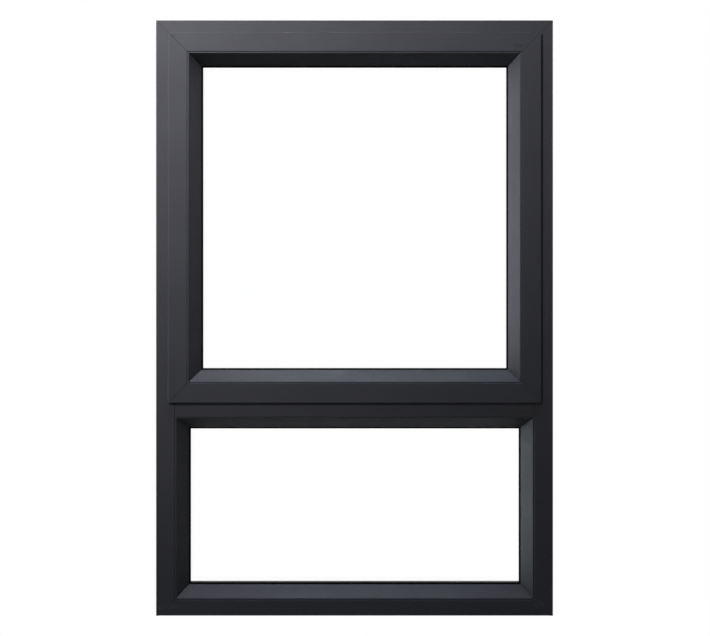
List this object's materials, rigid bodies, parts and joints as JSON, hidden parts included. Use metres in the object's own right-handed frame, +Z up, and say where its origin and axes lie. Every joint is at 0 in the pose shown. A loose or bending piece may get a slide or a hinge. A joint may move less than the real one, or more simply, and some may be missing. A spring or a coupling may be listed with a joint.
{
  "type": "top-hung window",
  "caption": "Tall window with an outward-opening top-hung sash over a fixed light, in dark aluminium extrusions with splayed glazing beads.",
  "frame": {"origin": "on the underside of the sill, in the middle of its width and of the frame's depth", "axes": "+X along the width, to the right seen from outdoors; +Z up; the outdoor face looks along -Y and the room is at +Y"},
  "size_m": [0.6, 0.0753, 0.9],
  "materials": {
    "frame_paint": "satin",
    "sash_paint": "satin",
    "bead_paint": "satin",
    "glass": "gloss",
    "spacer": "matte",
    "gasket": "matte",
    "setting_block": "matte",
    "stay_steel": "satin",
    "handle_paint": "satin"
  },
  "bodies": {
    "root": {"frame_head": "frame_paint", "frame_sill": "frame_paint", "frame_jamb_left": "frame_paint", "frame_jamb_right": "frame_paint", "transom": "frame_paint", "sash_top_rail": "sash_paint", "sash_bottom_rail": "sash_paint", "sash_stile_left": "sash_paint", "sash_stile_right": "sash_paint", "sash_bead_top": "bead_paint", "sash_bead_bottom": "bead_paint", "sash_bead_left": "bead_paint", "sash_bead_right": "bead_paint", "fixed_bead_top": "bead_paint", "fixed_bead_bottom": "bead_paint", "fixed_bead_left": "bead_paint", "fixed_bead_right": "bead_paint", "sash_outer_pane": "glass", "sash_inner_pane": "glass", "fixed_outer_pane": "glass", "fixed_inner_pane": "glass", "sash_spacer_bar": "spacer", "fixed_spacer_bar": "spacer", "sash_outer_gasket": "gasket", "sash_inner_gasket": "gasket", "fixed_outer_gasket": "gasket", "fixed_inner_gasket": "gasket", "sash_setting_blocks": "setting_block", "fixed_setting_blocks": "setting_block", "sash_outer_seal": "gasket", "sash_inner_seal": "gasket", "stay_left": "stay_steel", "stay_right": "stay_steel", "handle_base": "handle_paint", "handle_lever": "handle_paint", "handle_strike": "stay_steel"}
  },
  "joints": []
}
